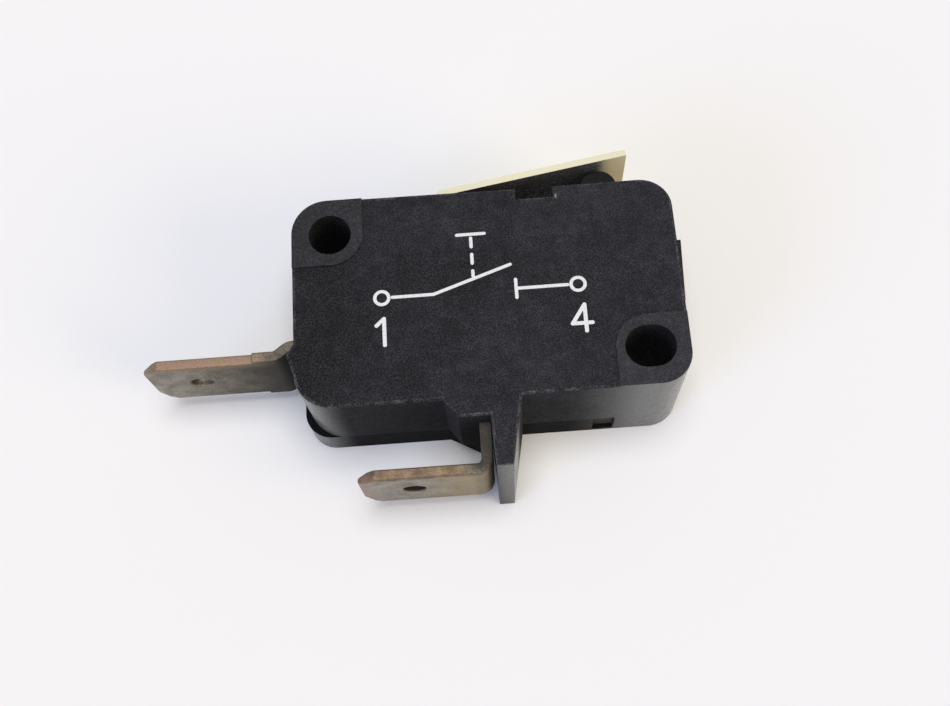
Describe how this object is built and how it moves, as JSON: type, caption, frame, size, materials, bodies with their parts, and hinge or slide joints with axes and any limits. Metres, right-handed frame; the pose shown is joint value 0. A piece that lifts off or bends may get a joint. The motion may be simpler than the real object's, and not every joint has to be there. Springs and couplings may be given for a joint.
{
  "type": "snap-action micro switch",
  "caption": "Black plastic snap-action micro switch with a short flat metal lever over its plunger, push-on tab terminals, a barrier rib and two mounting holes.",
  "frame": {"origin": "axis of the round mounting hole, on the rear face of the cover", "axes": "+X along the case to the plunger end, +Y to the plunger wall, +Z out of the front face"},
  "size_m": [0.0396, 0.0242, 0.0103],
  "materials": {
    "case_plastic": "matte moulded thermoset, fine speckle",
    "cover_plastic": "matte moulded thermoset",
    "plunger_plastic": "matte moulded",
    "lever_steel": "nickel-plated strip",
    "pin_steel": "drawn wire",
    "tinned_brass": "dull tinned brass, coppery cut edges",
    "spring_copper": "rolled spring strip",
    "spring_steel": "rolled spring strip",
    "silver_contact": "headed silver alloy"
  },
  "bodies": {
    "case": {"housing": "case_plastic", "cover": "cover_plastic", "lever_pin": "pin_steel", "common_terminal": "tinned_brass", "contact_terminal": "tinned_brass", "fixed_contact": "silver_contact"},
    "lever": {"lever": "lever_steel"},
    "plunger": {"plunger": "plunger_plastic"},
    "blade": {"blade": "spring_copper", "snap_spring": "spring_steel", "moving_contact": "silver_contact"}
  },
  "joints": [
    {"name": "lever_pivot", "type": "hinge", "parent": "case", "child": "lever", "pos_m": [0.0084, 0.00155, 0.00515], "axis": [0, 0, 1], "range_deg": [-8, 0], "stiffness_Nm_per_rad": 0.01, "springref_deg": 1.15},
    {"name": "plunger_slide", "type": "slide", "parent": "case", "child": "plunger", "axis": [0, 1, 0], "range_m": [-0.00165, 0]},
    {"name": "blade_pivot", "type": "hinge", "parent": "case", "child": "blade", "pos_m": [0.0036, -0.0054, 0.00515], "axis": [0, 0, 1], "range_deg": [-5.75, 0]}
  ],
  "couplings": [
    {"joint": "plunger_slide", "follows": "lever_pivot", "m_per_rad": 0.01163},
    {"joint": "blade_pivot", "follows": "lever_pivot", "ratio": 0.7086}
  ]
}
